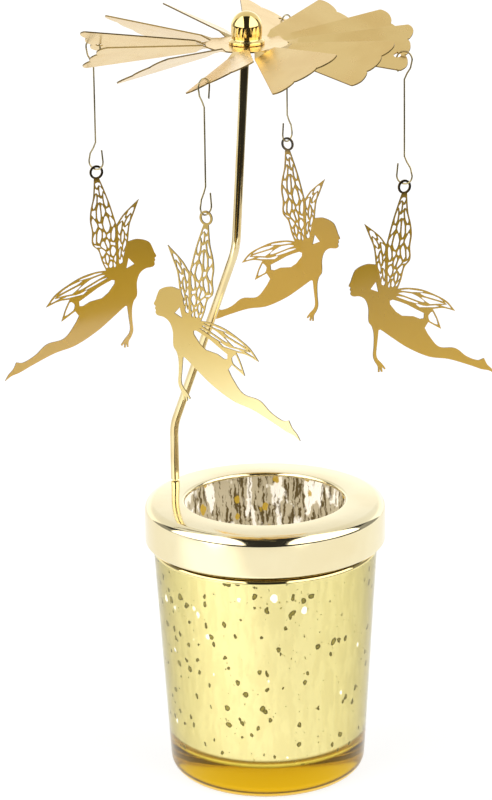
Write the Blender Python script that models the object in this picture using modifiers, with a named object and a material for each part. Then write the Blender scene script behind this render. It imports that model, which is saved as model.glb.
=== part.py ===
"""Votive candle holder with a carousel that the candle's heat turns.

A tapered glass cup carries a spun metal cap. A bent rod stands on the cap and ends in a needle
point. A hollow dome rides on that point and carries a stamped fan, and four sheet-metal fairies
hang from wire hooks in the fan's petals.

Units are metres, +Z is up, and the origin is the centre of the cup's base.
"""

import math

import bmesh
import bpy
from mathutils import Matrix, Vector
from mathutils.geometry import interpolate_bezier

MM = 0.001

# Clearances
SEAT_GAP = 0.3 * MM
FIT_GAP = 0.2 * MM

# How finely round shapes are faceted
FACET = math.radians(18)
SMALL_FACET = math.radians(30)
DOME_FACET = math.radians(13)
EYE_FACET = math.radians(45)
TURN_STEPS = 36
DOME_TURN_STEPS = 20
BEND_STEPS = 6
HOLE_SIDES = 12
POST_SIDES = 12
WIRE_SIDES = 6
FAIRY_CURVE_STEPS = 2
LOBE_STEPS = 4
WELD = 0.001 * MM

# Cutters reach through any of the sheets
CUTTER_DEPTH = 4.0 * MM

# Glass cup
CUP_HEIGHT = 78.4 * MM
CUP_RIM_RADIUS = 31.8 * MM
CUP_BASE_RADIUS = 27.0 * MM
CUP_WALL = 2.6 * MM
CUP_FLOOR = 9.0 * MM
CUP_FOOT_ROUND = 5.0 * MM
CUP_WELL_ROUND = 4.0 * MM

# Spun cap over the cup's rim
CAP_CLEARANCE = 0.9 * MM
CAP_SHEET = 0.6 * MM
CAP_DEPTH = 11.7 * MM
CAP_SHOULDER = 2.5 * MM
CAP_CROWN = 0.6 * MM
CAP_MOUTH_RADIUS = 22.2 * MM
CAP_LIP_DEPTH = 1.6 * MM
CAP_LIP_ROUND = 0.8 * MM
CAP_HEM_ROUND = 1.0 * MM

# Bent post, with its bends placed from the cup's axis and the cap's shoulder
POST_RADIUS = 1.2 * MM
POST_FOOT_TURN = math.radians(145.2)
POST_FOOT_INSET = 0.3 * MM
TENON_RADIUS = 0.6 * MM
LOWER_BEND_X = -22.0 * MM
LOWER_BEND_Y = 15.0 * MM
LOWER_BEND_RISE = 26.7 * MM
LOWER_BEND_ROUND = 24.0 * MM
UPPER_BEND_X = -7.0 * MM
UPPER_BEND_Y = 1.0 * MM
UPPER_BEND_RISE = 71.3 * MM
UPPER_BEND_ROUND = 20.0 * MM
NEEDLE_LENGTH = 6.0 * MM
NEEDLE_TIP_RADIUS = 0.15 * MM

# Fan wheel
FAN_X = -3.3 * MM
FAN_RISE = 127.6 * MM
FAN_RADIUS = 43.8 * MM
FAN_SHEET = 0.4 * MM
FAN_TURN = math.radians(-9.7)
FAN_DISC_RADIUS = 11.0 * MM
FAN_NECK_RADIUS = 13.5 * MM
PETALS = 12
PETAL_SLIT = math.radians(3.6)
PETAL_PITCH = math.radians(26.0)
SCALLOPS = 3
SCALLOP_DEPTH = 1.2 * MM

# Hollow dome in the fan's hub
DOME_RADIUS = 4.15 * MM
DOME_WAIST_RADIUS = 4.0 * MM
DOME_HEIGHT = 9.0 * MM
DOME_FLANGE_RADIUS = 4.8 * MM
DOME_FLANGE = 0.6 * MM
DOME_SPIGOT_RADIUS = 3.2 * MM
DOME_CLINCH_RADIUS = 4.0 * MM
DOME_CLINCH = 0.5 * MM
BEARING_BORE_RADIUS = 2.3 * MM
BEARING_BORE_TOP = 4.0 * MM
BEARING_SEAT_TOP = 6.0 * MM

# Wire hooks
WIRE_RADIUS = 0.23 * MM
LOOP_RADIUS = 2.1 * MM
LOOP_NECK = 5.4 * MM
LOOP_TAIL = 3.4 * MM
LOOP_START = math.radians(12)
LOOP_END = math.radians(-186)
# The neck from the shank to the loop, and the free end, as shares of the loop's radius and neck
NECK_SHAPE = ((0.0, 1.0), (0.35, 0.7), (0.8, 0.42))
TAIL_SIDE = -0.84
HOOK_SPAN = 31.6 * MM
HOOK_SINK = 0.9 * MM
HOOK_HOLE_RADIUS = 1.0 * MM
HOOK_HOLE_INSET = 1.9 * MM

# Sheet fairies, hung by a flat eye
FAIRY_DROP = 55.9 * MM
FAIRY_SHEET = 0.35 * MM
EYE_RADIUS = 1.95 * MM
EYE_HOLE_RADIUS = 1.35 * MM
VEIN = 0.45 * MM

# How far each hook and fairy is turned about +Z from the line of the petal that carries it, in degrees
NAMES = ("right", "front", "left", "back")
HOOK_TWIST = {"right": -8.1, "front": -32.3, "left": -14.3, "back": -29.3}
FAIRY_TWIST = {"right": 214.8, "front": 247.3, "left": 210.5, "back": 248.4}

# Places worked out from the sizes above
CAP_RADIUS = CUP_RIM_RADIUS + CAP_CLEARANCE + CAP_SHEET
CAP_SHOULDER_RADIUS = CAP_RADIUS - CAP_SHOULDER
CAP_TOP = CUP_HEIGHT + SEAT_GAP + CAP_SHEET
POST_FOOT_RADIUS = CAP_SHOULDER_RADIUS - POST_FOOT_INSET
FAN_Z = CAP_TOP + FAN_RISE
FAN_HUB = Vector((FAN_X, 0.0, FAN_Z))
FAN_HOLE_RADIUS = DOME_SPIGOT_RADIUS + FIT_GAP
PETAL_STEP = math.tau / PETALS
NEEDLE_TIP_Z = FAN_Z + BEARING_SEAT_TOP - SEAT_GAP
PIVOT_INSET = LOOP_RADIUS / 4

# The fairy is drawn in millimetres with its eye's centre at the origin, facing +X.
# A point with a third value is a sharp corner.
CORNER = True
FRONT_WING_LEFT = (
    (2.1, -27.9), (1.0, -25.4), (0.0, -22.1), (-1.7, -20.2), (-1.7, -16.6),
    (-2.2, -13.4), (-1.9, -10.3), (-1.2, -7.5), (-0.9, -4.6), (-0.75, -1.9),
)
FRONT_WING_RIGHT = (
    (5.2, -28.0), (5.5, -24.5), (5.3, -20.0), (5.4, -15.3, CORNER), (4.5, -12.2),
    (3.4, -8.6), (1.9, -4.6), (0.75, -1.9),
)
REAR_WING_LEFT = (
    (5.5, -27.6), (5.5, -24.5), (5.4, -20.0), (5.4, -15.3, CORNER), (7.5, -12.5), (12.0, -8.7, CORNER),
)
REAR_WING_RIGHT = (
    (7.0, -27.2), (7.7, -24.0), (8.6, -20.3, CORNER), (9.2, -15.6), (10.4, -12.6), (12.0, -8.7, CORNER),
)
LOWER_WING_TOP = (
    (2.1, -27.9), (-0.8, -28.0), (-4.9, -28.9), (-8.6, -30.6), (-12.8, -33.2), (-15.5, -36.4),
)
LOWER_WING_BOTTOM = (
    (4.4, -30.2), (1.4, -31.8), (-2.0, -33.6), (-5.0, -35.0), (-7.4, -35.0, CORNER), (-11.2, -35.1),
    (-15.5, -36.4),
)
SMALL_LOBE_TOP = ((-5.0, -35.0), (-7.4, -35.0, CORNER), (-9.4, -37.6), (-10.7, -40.9))
SMALL_LOBE_BOTTOM = ((-5.6, -37.4), (-6.8, -38.3, CORNER), (-10.7, -40.9, CORNER))
HEAD = (
    (8.6, -20.3, CORNER), (11.4, -19.9), (14.6, -21.0), (16.1, -23.2), (16.9, -25.4), (16.4, -26.2),
    (16.5, -27.0), (15.9, -28.0), (13.9, -28.4), (12.2, -29.8),
)
CHEST_AND_ARM = (
    (11.3, -32.2), (11.2, -36.2), (9.9, -37.8), (10.2, -42.6), (10.3, -46.2), (9.3, -48.3),
    (8.7, -50.3, CORNER), (7.3, -49.8, CORNER), (8.3, -48.4), (9.1, -46.2), (9.0, -42.8),
    (8.4, -38.4, CORNER),
)
LEGS = (
    (7.3, -38.6), (3.9, -41.2), (-1.0, -44.8), (-7.5, -48.2), (-13.5, -49.7), (-21.6, -53.0),
    (-27.9, -55.9, CORNER), (-25.6, -53.0), (-24.5, -51.0, CORNER), (-22.6, -51.4), (-19.0, -49.6),
    (-15.2, -46.9), (-9.9, -45.7), (-7.2, -42.3), (-5.5, -40.0, CORNER),
)
LOWER_WING_EDGE = (
    (-6.8, -38.3, CORNER), (-10.7, -40.9, CORNER), (-9.4, -37.6), (-7.4, -35.0, CORNER), (-11.2, -35.1),
    (-15.5, -36.4, CORNER), (-12.8, -33.2), (-8.6, -30.6), (-4.9, -28.9), (-0.8, -28.0),
    (2.1, -27.9, CORNER),
)
BACK_GAP = (
    (5.2, -31.3), (4.7, -33.2), (2.8, -35.2), (0.7, -36.2), (-3.8, -37.1), (-4.3, -36.2), (-0.8, -33.7),
)
NECK_GAP = ((8.6, -25.0), (10.3, -26.9), (7.9, -28.0))
# Rows of pierced cells from a wing's root to its tip: start, end and number of cells
FRONT_WING_ROWS = (
    (0.03, 0.13, 3), (0.13, 0.24, 4), (0.24, 0.36, 3), (0.36, 0.52, 4), (0.52, 0.7, 3), (0.7, 0.86, 2),
    (0.86, 0.96, 1),
)
REAR_WING_ROWS = (
    (0.05, 0.18, 1), (0.18, 0.32, 2), (0.32, 0.46, 2), (0.46, 0.6, 2), (0.6, 0.74, 1), (0.74, 0.88, 1),
)
LOWER_WING_ROWS = ((0.1, 0.42, 3), (0.42, 0.76, 2), (0.76, 0.93, 1))
SMALL_LOBE_ROWS = ((0.34, 0.58, 1), (0.58, 0.8, 1))
# A cell comes to a point over this share of its row at each end
CELL_POINT = 0.17
FAIRY_SCALE = FAIRY_DROP / -min(point[1] for point in LEGS)
HALF_VEIN = VEIN / FAIRY_SCALE / 2


def new_collection(name):
    collection = bpy.data.collections.new(name)
    bpy.context.scene.collection.children.link(collection)
    return collection


def finish(name, colour, roughness, metallic, transmission=0.0):
    material = bpy.data.materials.new(name)
    material.use_nodes = True
    shader = material.node_tree.nodes["Principled BSDF"]
    shader.inputs["Base Color"].default_value = (*colour, 1.0)
    shader.inputs["Roughness"].default_value = roughness
    shader.inputs["Metallic"].default_value = metallic
    shader.inputs["Transmission Weight"].default_value = transmission
    return material


def add_part(name, data, material, location=(0.0, 0.0, 0.0), parent=None):
    """A named part whose origin is its seat or its joint's axis, in world coordinates."""
    part = bpy.data.objects.new(name, data)
    data.materials.append(material)
    PARTS.objects.link(part)
    part.location = location
    if parent:
        bpy.context.view_layer.update()
        part.parent = parent
        part.matrix_parent_inverse = parent.matrix_world.inverted()
    return part


def add_cutter(name, mesh, target):
    cutter = bpy.data.objects.new(name, mesh)
    CUTTERS.objects.link(cutter)
    cutter.hide_render = True
    cutter.display_type = "WIRE"
    cut = target.modifiers.new(name, "BOOLEAN")
    cut.operation = "DIFFERENCE"
    cut.solver = "EXACT"
    cut.object = cutter
    return cutter


def heading(turn):
    return Vector((math.cos(turn), math.sin(turn), 0.0))


def arc(centre, radius, start, end, facet):
    """Points of an arc in a profile's plane, with both ends."""
    steps = round(abs(end - start) / facet)
    turns = [start + (end - start) * i / steps for i in range(steps + 1)]
    return [(centre[0] + radius * math.cos(t), centre[1] + radius * math.sin(t)) for t in turns]


def turned(name, profile, steps, material, location, parent=None):
    """A turned piece: a profile of radius and height, spun about the piece's own Z axis."""
    mesh = bpy.data.meshes.new(name)
    edges = [(i, i + 1) for i in range(len(profile) - 1)]
    mesh.from_pydata([(radius, 0.0, height) for radius, height in profile], edges, [])
    part = add_part(name, mesh, material, location, parent)
    screw = part.modifiers.new("Turn", "SCREW")
    screw.steps = steps
    screw.render_steps = steps
    screw.use_merge_vertices = True
    screw.merge_threshold = WELD
    screw.use_smooth_shade = True
    return part


def wire(name, points, material, radius, sides, location, parent=None):
    """A round wire along points, each with the share of the full radius that it has there."""
    curve = bpy.data.curves.new(name, "CURVE")
    curve.dimensions = "3D"
    curve.bevel_depth = radius
    curve.bevel_resolution = sides // 2 - 2
    curve.use_fill_caps = True
    curve.render_resolution_u = 0
    spline = curve.splines.new("POLY")
    spline.points.add(len(points) - 1)
    for target, (point, share) in zip(spline.points, points):
        target.co = (*point, 1.0)
        target.radius = share
    return add_part(name, curve, material, location, parent)


def rounded_corner(before, corner, after, radius):
    """The arc that replaces a corner between two straight runs of a bent rod."""
    back = (before - corner).normalized()
    on = (after - corner).normalized()
    half = back.angle(on) / 2
    centre = corner + (back + on).normalized() * (radius / math.sin(half))
    reach = radius / math.tan(half)
    first = corner + back * reach - centre
    last = corner + on * reach - centre
    sweep = first.angle(last)
    axis = first.cross(last).normalized()
    turns = [sweep * i / BEND_STEPS for i in range(BEND_STEPS + 1)]
    return [centre + Matrix.Rotation(turn, 3, axis) @ first for turn in turns]


def cup_inner_radius(height):
    """Radius of the well's straight side, one wall inside the tapered outer side."""
    taper = (CUP_RIM_RADIUS - CUP_BASE_RADIUS) / CUP_HEIGHT
    return CUP_BASE_RADIUS + taper * height - CUP_WALL


def make_cup():
    rim_round = CUP_WALL / 2
    foot_centre = (CUP_BASE_RADIUS - CUP_FOOT_ROUND, CUP_FOOT_ROUND)
    well_height = CUP_FLOOR + CUP_WELL_ROUND
    well_centre = (cup_inner_radius(well_height) - CUP_WELL_ROUND, well_height)
    rim_centre = (CUP_RIM_RADIUS - rim_round, CUP_HEIGHT - rim_round)
    profile = [(0.0, CUP_FLOOR)]
    profile += arc(well_centre, CUP_WELL_ROUND, -math.pi / 2, 0.0, FACET)
    profile += arc(rim_centre, rim_round, math.pi, 0.0, SMALL_FACET)
    profile += arc(foot_centre, CUP_FOOT_ROUND, 0.0, -math.pi / 2, FACET)
    profile.append((0.0, 0.0))
    glass = finish("Mercury glass", (0.86, 0.74, 0.30), roughness=0.12, metallic=0.0, transmission=0.6)
    return turned("glass_cup", profile, TURN_STEPS, glass, (0.0, 0.0, 0.0))


def cap_surface(radius):
    """Height of the cap's gently crowned top above its shoulder, at a radius."""
    inner = CAP_MOUTH_RADIUS + CAP_LIP_ROUND
    return CAP_CROWN * (CAP_SHOULDER_RADIUS - radius) / (CAP_SHOULDER_RADIUS - inner)


def make_cap():
    lip_centre = (CAP_MOUTH_RADIUS + CAP_LIP_ROUND, CAP_CROWN - CAP_LIP_ROUND)
    shoulder_centre = (CAP_SHOULDER_RADIUS, -CAP_SHOULDER)
    hem_centre = (CAP_RADIUS - CAP_HEM_ROUND, CAP_HEM_ROUND - CAP_DEPTH)
    profile = [(CAP_MOUTH_RADIUS, CAP_CROWN - CAP_LIP_DEPTH)]
    profile += arc(lip_centre, CAP_LIP_ROUND, math.pi, math.pi / 2, SMALL_FACET)
    profile += arc(shoulder_centre, CAP_SHOULDER, math.pi / 2, 0.0, FACET)
    profile += arc(hem_centre, CAP_HEM_ROUND, 0.0, -math.pi / 2, SMALL_FACET)
    gold = finish("Polished gold cap", (0.90, 0.76, 0.46), roughness=0.08, metallic=1.0)
    cap = turned("rim_cap", profile, TURN_STEPS, gold, (0.0, 0.0, CAP_TOP))
    sheet = cap.modifiers.new("Sheet", "SOLIDIFY")
    sheet.thickness = CAP_SHEET
    sheet.offset = -1.0
    sheet.use_even_offset = True
    bm = bmesh.new()
    bmesh.ops.create_cone(
        bm, cap_ends=True, segments=HOLE_SIDES, depth=CUTTER_DEPTH,
        radius1=TENON_RADIUS + FIT_GAP, radius2=TENON_RADIUS + FIT_GAP,
    )
    mesh = bpy.data.meshes.new("tenon_hole")
    bm.to_mesh(mesh)
    bm.free()
    hole = add_cutter("tenon_hole", mesh, cap)
    hole.location = POST_FOOT_RADIUS * heading(POST_FOOT_TURN) + Vector((0.0, 0.0, CAP_TOP))
    return cap


def make_post(cap):
    """One rod: a tenon in the cap, two bends, and a needle point inside the dome."""
    foot = POST_FOOT_RADIUS * heading(POST_FOOT_TURN)
    foot.z = CAP_TOP + cap_surface(POST_FOOT_RADIUS)
    rise = Vector((0.0, 0.0, 1.0))
    lower = Vector((LOWER_BEND_X, LOWER_BEND_Y, CAP_TOP + LOWER_BEND_RISE))
    upper = Vector((UPPER_BEND_X, UPPER_BEND_Y, CAP_TOP + UPPER_BEND_RISE))
    tip = Vector((FAN_X, 0.0, NEEDLE_TIP_Z))
    needle_root = tip + (upper - tip).normalized() * NEEDLE_LENGTH
    seat = foot + rise * FIT_GAP
    tenon_share = TENON_RADIUS / POST_RADIUS
    points = [(foot - rise * CAP_SHEET, tenon_share), (seat, tenon_share), (seat + rise * FIT_GAP, 1.0)]
    points += [(p, 1.0) for p in rounded_corner(seat, lower, upper, LOWER_BEND_ROUND)]
    points += [(p, 1.0) for p in rounded_corner(lower, upper, tip, UPPER_BEND_ROUND)]
    points += [(needle_root, 1.0), (tip, NEEDLE_TIP_RADIUS / POST_RADIUS)]
    points = [(point - cap.location, share) for point, share in points]
    gold = finish("Polished gold rod", (0.83, 0.62, 0.24), roughness=0.1, metallic=1.0)
    return wire("bent_post", points, gold, POST_RADIUS, POST_SIDES, cap.location, cap)


def petal_half_width(radius):
    return radius * math.tan((PETAL_STEP - PETAL_SLIT) / 2)


def petal_edge(across):
    """Distance of a petal's scalloped tip from the hub, at a place across the flat petal."""
    phase = SCALLOPS * (across / petal_half_width(FAN_RADIUS) + 1.0) / 2
    return FAN_RADIUS - SCALLOP_DEPTH * (1.0 - abs(math.sin(math.pi * phase)))


def petal_point(petal, along, across, pitch=PETAL_PITCH):
    """A place on a pitched petal, from the hub: its counter-clockwise side is the raised one."""
    turn = FAN_TURN + petal * PETAL_STEP
    point = heading(turn) * along + heading(turn + math.pi / 2) * (across * math.cos(pitch))
    point.z = across * math.sin(pitch)
    return point


def hook_petal(name):
    """The number of the petal that carries a hook: they are spread evenly round the fan."""
    return -NAMES.index(name) * PETALS // len(NAMES)


def hook_hole(name):
    """The hole for a hook, behind the notch on the lower side of the petal that carries it."""
    across = petal_half_width(FAN_RADIUS) * (2 / SCALLOPS - 1.0)
    return petal_point(hook_petal(name), petal_edge(across) - HOOK_HOLE_INSET, across)


def twisted(name, twist):
    """The turn about +Z of a piece that is twisted, in degrees, from its petal's line."""
    return FAN_TURN + hook_petal(name) * PETAL_STEP + math.radians(twist[name])


def nearest_petal(point):
    """The petal that a place on the blank belongs to, and how far round from its middle it lies."""
    turn = (math.atan2(point.y, point.x) - FAN_TURN) / PETAL_STEP
    return round(turn), turn - round(turn)


def grow_blank(bm, edges, along):
    """Extrude edges of the flat blank to a distance along their petals, and return the new edges."""
    grown = bmesh.ops.extrude_edge_only(bm, edges=edges)["geom"]
    new = {item for item in grown if isinstance(item, bmesh.types.BMVert)}
    for vert in new:
        petal, turn = nearest_petal(vert.co)
        vert.co = petal_point(petal, along, round(2 * turn) * petal_half_width(along), 0.0)
    return [item for item in grown if isinstance(item, bmesh.types.BMEdge) and set(item.verts) <= new]


def make_fan(cap):
    """A flat blank grown outward from the hub's edge loop, then pitched petal by petal.

    The hub has three edges a petal: two are the petal's root and the third is the slit beside it.
    """
    bm = bmesh.new()
    hub_turn = Matrix.Rotation(FAN_TURN, 4, "Z")
    bmesh.ops.create_circle(
        bm, cap_ends=False, radius=FAN_HOLE_RADIUS, segments=3 * PETALS, matrix=hub_turn,
    )
    disc = bmesh.ops.extrude_edge_only(bm, edges=bm.edges[:])["geom"]
    disc_rim = {item for item in disc if isinstance(item, bmesh.types.BMVert)}
    for vert in disc_rim:
        vert.co *= FAN_DISC_RADIUS / FAN_HOLE_RADIUS
    rim_edges = [edge for edge in bm.edges if set(edge.verts) <= disc_rim]
    middles = {edge: edge.verts[0].co + edge.verts[1].co for edge in rim_edges}
    necks = [edge for edge in rim_edges if abs(nearest_petal(middles[edge])[1]) < 1 / 3]
    roots = grow_blank(bm, necks, FAN_NECK_RADIUS)
    tips = grow_blank(bm, roots, FAN_RADIUS)
    bmesh.ops.subdivide_edges(bm, edges=tips, cuts=LOBE_STEPS * SCALLOPS - 1)
    for vert in bm.verts:
        petal, _ = nearest_petal(vert.co)
        along = vert.co.dot(heading(FAN_TURN + petal * PETAL_STEP))
        across = vert.co.dot(heading(FAN_TURN + petal * PETAL_STEP + math.pi / 2))
        if along > (FAN_NECK_RADIUS + FAN_RADIUS) / 2:
            along = petal_edge(across)
        if along > (FAN_DISC_RADIUS + FAN_NECK_RADIUS) / 2:
            vert.co = petal_point(petal, along, across)
    bmesh.ops.recalc_face_normals(bm, faces=bm.faces[:])
    mesh = bpy.data.meshes.new("fan_wheel")
    bm.to_mesh(mesh)
    bm.free()
    gold = finish("Mirror gold sheet", (0.80, 0.62, 0.30), roughness=0.12, metallic=1.0)
    fan = add_part("fan_wheel", mesh, gold, FAN_HUB, cap)
    sheet = fan.modifiers.new("Sheet", "SOLIDIFY")
    sheet.thickness = FAN_SHEET
    sheet.offset = 0.0
    bm = bmesh.new()
    for name in NAMES:
        bmesh.ops.create_cone(
            bm, cap_ends=True, segments=HOLE_SIDES, depth=CUTTER_DEPTH,
            radius1=HOOK_HOLE_RADIUS, radius2=HOOK_HOLE_RADIUS, matrix=Matrix.Translation(hook_hole(name)),
        )
    mesh = bpy.data.meshes.new("hook_holes")
    bm.to_mesh(mesh)
    bm.free()
    add_cutter("hook_holes", mesh, fan).location = FAN_HUB
    return fan


def make_dome(fan):
    """A turned dome: its flange and clinched rim grip the fan, and its bore has a conical seat."""
    flange_bottom = FAN_SHEET / 2 + FIT_GAP
    flange_top = flange_bottom + DOME_FLANGE
    clinch_top = -flange_bottom
    clinch_bottom = clinch_top - DOME_CLINCH
    profile = [(0.0, DOME_HEIGHT)]
    profile += arc((0.0, DOME_HEIGHT - DOME_RADIUS), DOME_RADIUS, math.pi / 2, 0.0, DOME_FACET)[1:]
    profile += [
        (DOME_WAIST_RADIUS, flange_top + DOME_FLANGE),
        (DOME_FLANGE_RADIUS, flange_top),
        (DOME_FLANGE_RADIUS, flange_bottom),
        (DOME_SPIGOT_RADIUS, flange_bottom),
        (DOME_SPIGOT_RADIUS, clinch_top),
        (DOME_CLINCH_RADIUS, clinch_top),
        (DOME_CLINCH_RADIUS, clinch_bottom),
        (BEARING_BORE_RADIUS, clinch_bottom),
        (BEARING_BORE_RADIUS, BEARING_BORE_TOP),
        (0.0, BEARING_SEAT_TOP),
    ]
    gold = finish("Polished gold dome", (0.80, 0.56, 0.18), roughness=0.06, metallic=1.0)
    return turned("pivot_dome", profile, DOME_TURN_STEPS, gold, FAN_HUB, fan)


def hook_loop(turn_way):
    """One end of a hook as side and rise from its loop's centre, from the shank to the free end."""
    loop = [(side * LOOP_RADIUS, rise * LOOP_NECK) for side, rise in NECK_SHAPE]
    loop += arc((0.0, 0.0), LOOP_RADIUS, LOOP_START, LOOP_END, FACET)
    loop.append((TAIL_SIDE * LOOP_RADIUS, LOOP_TAIL))
    return [(side, turn_way * rise) for side, rise in loop]


def hook_frame(name):
    """Where a hook hangs: its heading, its upper loop's centre and its pivot on the petal."""
    out = heading(twisted(name, HOOK_TWIST))
    hole = FAN_HUB + hook_hole(name)
    hole_side = math.sqrt(LOOP_RADIUS**2 - HOOK_SINK**2)
    centre = hole + out * hole_side
    centre.z -= HOOK_SINK
    pivot = hole + out * (hole_side - PIVOT_INSET)
    pivot.z += FAN_SHEET / 2
    return out, centre, pivot


def make_hook(name, fan):
    out, centre, pivot = hook_frame(name)
    upper = hook_loop(-1)
    lower = [(side, rise - HOOK_SPAN) for side, rise in hook_loop(1)]
    route = upper[::-1] + lower
    points = [(centre - pivot + out * side + Vector((0.0, 0.0, rise)), 1.0) for side, rise in route]
    steel = finish(f"Hook wire {name}", (0.70, 0.58, 0.30), roughness=0.25, metallic=1.0)
    return wire(f"hook_{name}", points, steel, WIRE_RADIUS, WIRE_SIDES, pivot, fan)


def smooth_line(drawn):
    """A line through drawn points, rounded except at its ends and at the marked corners."""
    places = [Vector(point[:2]) for point in drawn]
    last = len(places) - 1
    sharp = [i in (0, last) or len(point) > 2 for i, point in enumerate(drawn)]
    line = places[:1]
    for i in range(last):
        a = places[i]
        b = places[i + 1]
        if sharp[i] and sharp[i + 1]:
            line.append(b)
            continue
        third = (b - a).length / 3
        leave = (b - a) if sharp[i] else (b - places[i - 1])
        arrive = (b - a) if sharp[i + 1] else (places[i + 2] - a)
        handles = (a + leave.normalized() * third, b - arrive.normalized() * third)
        line += interpolate_bezier(a, *handles, b, FAIRY_CURVE_STEPS + 1)[1:]
    return line


def along_edge(edge, share):
    """The point at a share of the length of a wing's edge."""
    points = smooth_line(edge)
    lengths = [(b - a).length for a, b in zip(points, points[1:])]
    left = share * sum(lengths)
    for a, b, length in zip(points, points[1:], lengths):
        if left <= length:
            return a.lerp(b, left / length)
        left -= length
    return points[-1]


def wing_point(first_edge, second_edge, share, column, inset):
    """A point between two edges of a wing, inset by so many half veins from a column's line."""
    a = along_edge(first_edge, share)
    b = along_edge(second_edge, share)
    rim = HALF_VEIN / (b - a).length
    return a.lerp(b, rim + (column + inset * rim) * (1 - 2 * rim))


def wing_cells(first_edge, second_edge, rows):
    """Six-sided cells between two edges of a wing, a vein apart."""
    cells = []
    for start, end, count in rows:
        low = start + CELL_POINT * (end - start)
        high = end - CELL_POINT * (end - start)
        length = (along_edge(first_edge, end) - along_edge(first_edge, start)).length
        tip = HALF_VEIN * (end - start) / length
        for i in range(count):
            left = i / count
            right = (i + 1) / count
            middle = (left + right) / 2
            corners = (
                (start + tip, middle, 0), (low, left, 1), (high, left, 1),
                (end - tip, middle, 0), (high, right, -1), (low, right, -1),
            )
            cells.append([wing_point(first_edge, second_edge, *corner) for corner in corners])
    return cells


def fairy_outline():
    """The silhouette, clockwise from the left of the eye's foot."""
    eye = EYE_RADIUS / FAIRY_SCALE
    foot = math.asin(FRONT_WING_RIGHT[-1][0] / eye)
    ring = arc((0.0, 0.0), eye, -math.pi / 2 - foot, -5 * math.pi / 2 + foot, EYE_FACET)
    drawn = [(*ring[0], CORNER)] + ring[1:-1] + [(*ring[-1], CORNER)]
    drawn += FRONT_WING_RIGHT[-2:2:-1]
    drawn += REAR_WING_LEFT[4:]
    drawn += REAR_WING_RIGHT[-2:2:-1]
    drawn += HEAD + CHEST_AND_ARM + LEGS + LOWER_WING_EDGE
    drawn += FRONT_WING_LEFT[1:-1]
    return smooth_line(drawn + drawn[:1])[:-1]


def make_fairy_curve(name):
    """The flat figure as a filled outline with its pierced wings, hung below its joint."""
    hang = EYE_HOLE_RADIUS - WIRE_RADIUS - SEAT_GAP
    curve = bpy.data.curves.new(name, "CURVE")
    curve.dimensions = "2D"
    curve.fill_mode = "BOTH"
    curve.extrude = FAIRY_SHEET / 2
    curve.render_resolution_u = 0
    eye_hole = arc((0.0, 0.0), EYE_HOLE_RADIUS / FAIRY_SCALE, 0.0, math.tau, SMALL_FACET)
    lines = [fairy_outline(), eye_hole[:-1], BACK_GAP, NECK_GAP]
    lines += wing_cells(FRONT_WING_LEFT, FRONT_WING_RIGHT, FRONT_WING_ROWS)
    lines += wing_cells(REAR_WING_LEFT, REAR_WING_RIGHT, REAR_WING_ROWS)
    lines += wing_cells(LOWER_WING_TOP, LOWER_WING_BOTTOM, LOWER_WING_ROWS)
    lines += wing_cells(SMALL_LOBE_TOP, SMALL_LOBE_BOTTOM, SMALL_LOBE_ROWS)
    for line in lines:
        spline = curve.splines.new("POLY")
        spline.points.add(len(line) - 1)
        spline.use_cyclic_u = True
        for target, point in zip(spline.points, line):
            target.co = (point[0] * FAIRY_SCALE, point[1] * FAIRY_SCALE - hang, 0.0, 1.0)
    return curve


def make_fairy(name, hook):
    _, centre, _ = hook_frame(name)
    joint = centre - Vector((0.0, 0.0, HOOK_SPAN + LOOP_RADIUS))
    brass = finish(f"Fairy gold {name}", (0.72, 0.53, 0.20), roughness=0.3, metallic=1.0)
    fairy = add_part(f"charm_{name}", make_fairy_curve(f"charm_{name}"), brass, joint, hook)
    fairy.rotation_euler = (math.pi / 2, 0.0, twisted(name, FAIRY_TWIST))
    return fairy


for old in list(bpy.data.objects):
    bpy.data.objects.remove(old)
PARTS = new_collection("carousel_candle_holder")
CUTTERS = new_collection("cutters")
make_cup()
cap_ring = make_cap()
make_post(cap_ring)
fan_wheel = make_fan(cap_ring)
make_dome(fan_wheel)
for place_name in NAMES:
    make_fairy(place_name, make_hook(place_name, fan_wheel))
bpy.context.view_layer.update()
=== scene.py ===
"""Looks, light and camera for a votive candle holder with a carousel that the candle's heat turns."""

import math

import bmesh
import bpy
from mathutils import Matrix, Vector
from mathutils.geometry import interpolate_bezier


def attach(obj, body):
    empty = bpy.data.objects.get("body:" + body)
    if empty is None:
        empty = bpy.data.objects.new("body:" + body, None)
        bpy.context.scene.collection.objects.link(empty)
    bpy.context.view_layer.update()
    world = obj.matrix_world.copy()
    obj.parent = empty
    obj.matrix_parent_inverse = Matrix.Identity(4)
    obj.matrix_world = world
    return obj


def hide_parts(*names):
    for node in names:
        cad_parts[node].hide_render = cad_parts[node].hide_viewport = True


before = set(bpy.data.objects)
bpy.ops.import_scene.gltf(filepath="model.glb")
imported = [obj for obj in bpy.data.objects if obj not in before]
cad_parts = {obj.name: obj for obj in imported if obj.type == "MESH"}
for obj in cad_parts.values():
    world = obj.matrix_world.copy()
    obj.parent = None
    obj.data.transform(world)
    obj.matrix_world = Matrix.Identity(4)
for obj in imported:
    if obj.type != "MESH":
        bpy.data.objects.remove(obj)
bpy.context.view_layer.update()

MM = 0.001
ORIGIN = (0.0, 0.0, 0.0)
UPRIGHT = (0.0, 0.0, 1.0)
BLACK = (0.0, 0.0, 0.0)

# How smooth the pieces are
WELD = 0.002 * MM
TURN_STEPS = 160
ROUND_STEPS = 10
BEND_STEPS = 20
POST_RESOLUTION = 6
WIRE_RESOLUTION = 3
LOOP_STEPS = 28
LOBE_STEPS = 14
OUTLINE_STEPS = 6
EYE_STEPS = 40
CREASE = math.radians(32)
PETAL_CREASE = math.radians(8)
# A face whose normal rises more than this lies flat rather than upright
FLAT_FACE = 0.5

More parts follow.
